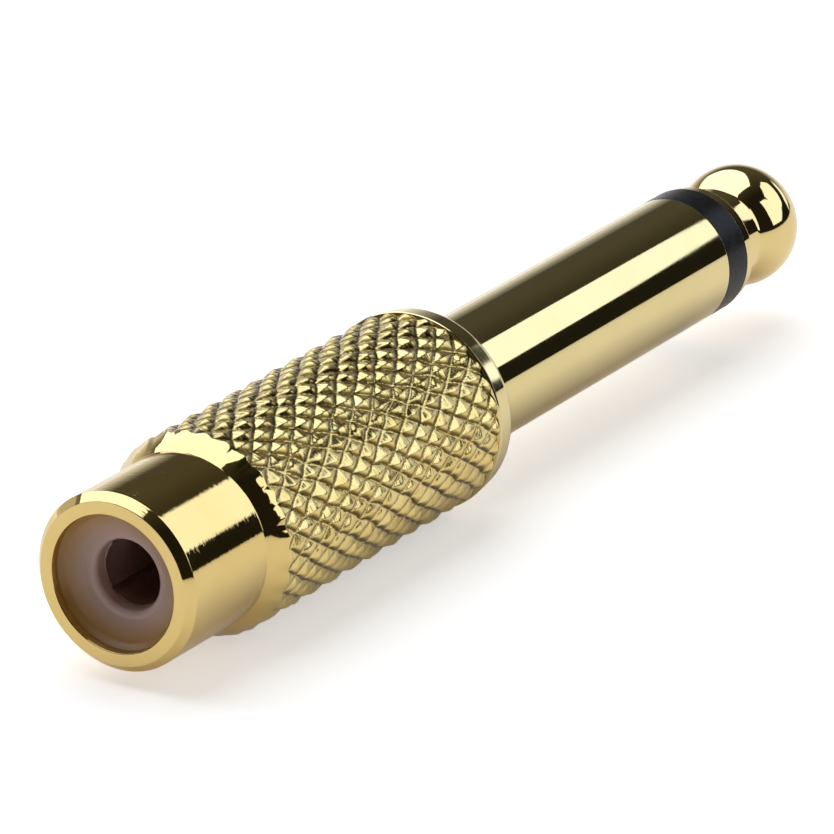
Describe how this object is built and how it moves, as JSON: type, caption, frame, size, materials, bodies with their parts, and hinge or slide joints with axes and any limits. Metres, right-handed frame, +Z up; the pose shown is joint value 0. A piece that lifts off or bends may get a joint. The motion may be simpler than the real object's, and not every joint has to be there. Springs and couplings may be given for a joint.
{
  "type": "rca socket to 6.35 mm mono jack plug adapter",
  "caption": "Straight gold-plated audio adapter: an RCA socket with a diamond-knurled barrel behind it, and a 6.35 mm mono jack plug with a black insulating ring and a ball tip.",
  "frame": {"origin": "middle of the length, on the surface under the knurled barrel", "axes": "+X along the axis from the socket's rim to the plug's tip, +Z up, away from the surface that the barrel lies on"},
  "size_m": [0.0574, 0.0096, 0.0096],
  "materials": {
    "gold_plate": "polished gold-plated brass with fine turning marks",
    "contact_plate": "thin gold flash over red brass",
    "white_plastic": "milky moulded plastic",
    "black_plastic": "satin black moulded plastic",
    "clear_plastic": "natural extruded plastic"
  },
  "bodies": {
    "root": {"body_shell": "gold_plate", "socket_insulator": "white_plastic", "centre_contact": "contact_plate", "rear_insulator": "white_plastic", "plug_sleeve": "gold_plate", "sleeve_liner": "clear_plastic", "tip_insulator": "black_plastic", "plug_tip": "gold_plate"}
  },
  "joints": []
}
